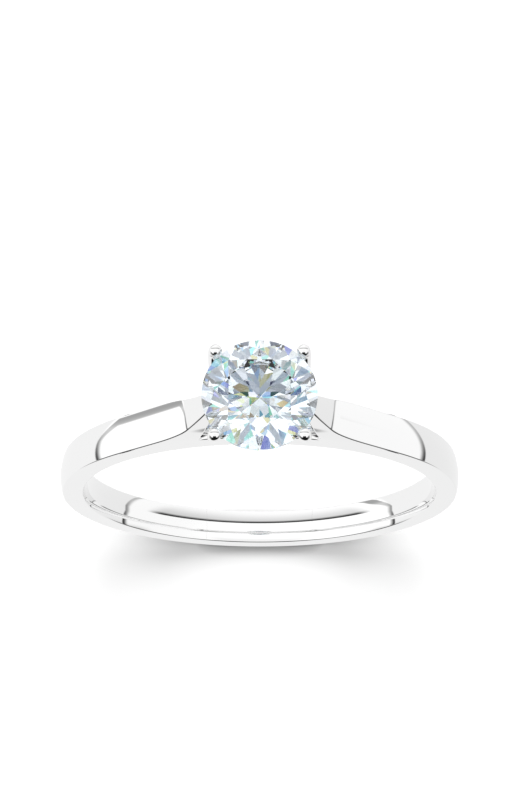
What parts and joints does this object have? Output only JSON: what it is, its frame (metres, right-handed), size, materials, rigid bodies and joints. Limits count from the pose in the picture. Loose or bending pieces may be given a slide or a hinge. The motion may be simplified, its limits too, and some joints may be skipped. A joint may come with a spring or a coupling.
{
  "type": "engagement ring",
  "caption": "Cathedral solitaire ring: court-section white metal band, raised shoulders and a clawed head holding a round brilliant.",
  "frame": {"origin": "centre of the finger hole, midway across the band", "axes": "+Y along the finger from the front face to the back face, +Z from the finger hole up to the stone, +X to the right seen from the front"},
  "size_m": [0.0194, 0.0048, 0.0231],
  "materials": {
    "band": "mirror-polished white precious metal",
    "shoulders": "mirror-polished white precious metal",
    "head": "mirror-polished white precious metal",
    "stone": "clear cut and polished stone with strong dispersion"
  },
  "bodies": {
    "root": {"left_shank": "band", "right_shank": "band", "sizing_piece": "band", "left_shoulder": "shoulders", "right_shoulder": "shoulders", "bridge": "band", "front_left_claw": "head", "front_right_claw": "head", "back_left_claw": "head", "back_right_claw": "head", "gallery_rail": "head", "diamond": "stone"}
  },
  "joints": []
}
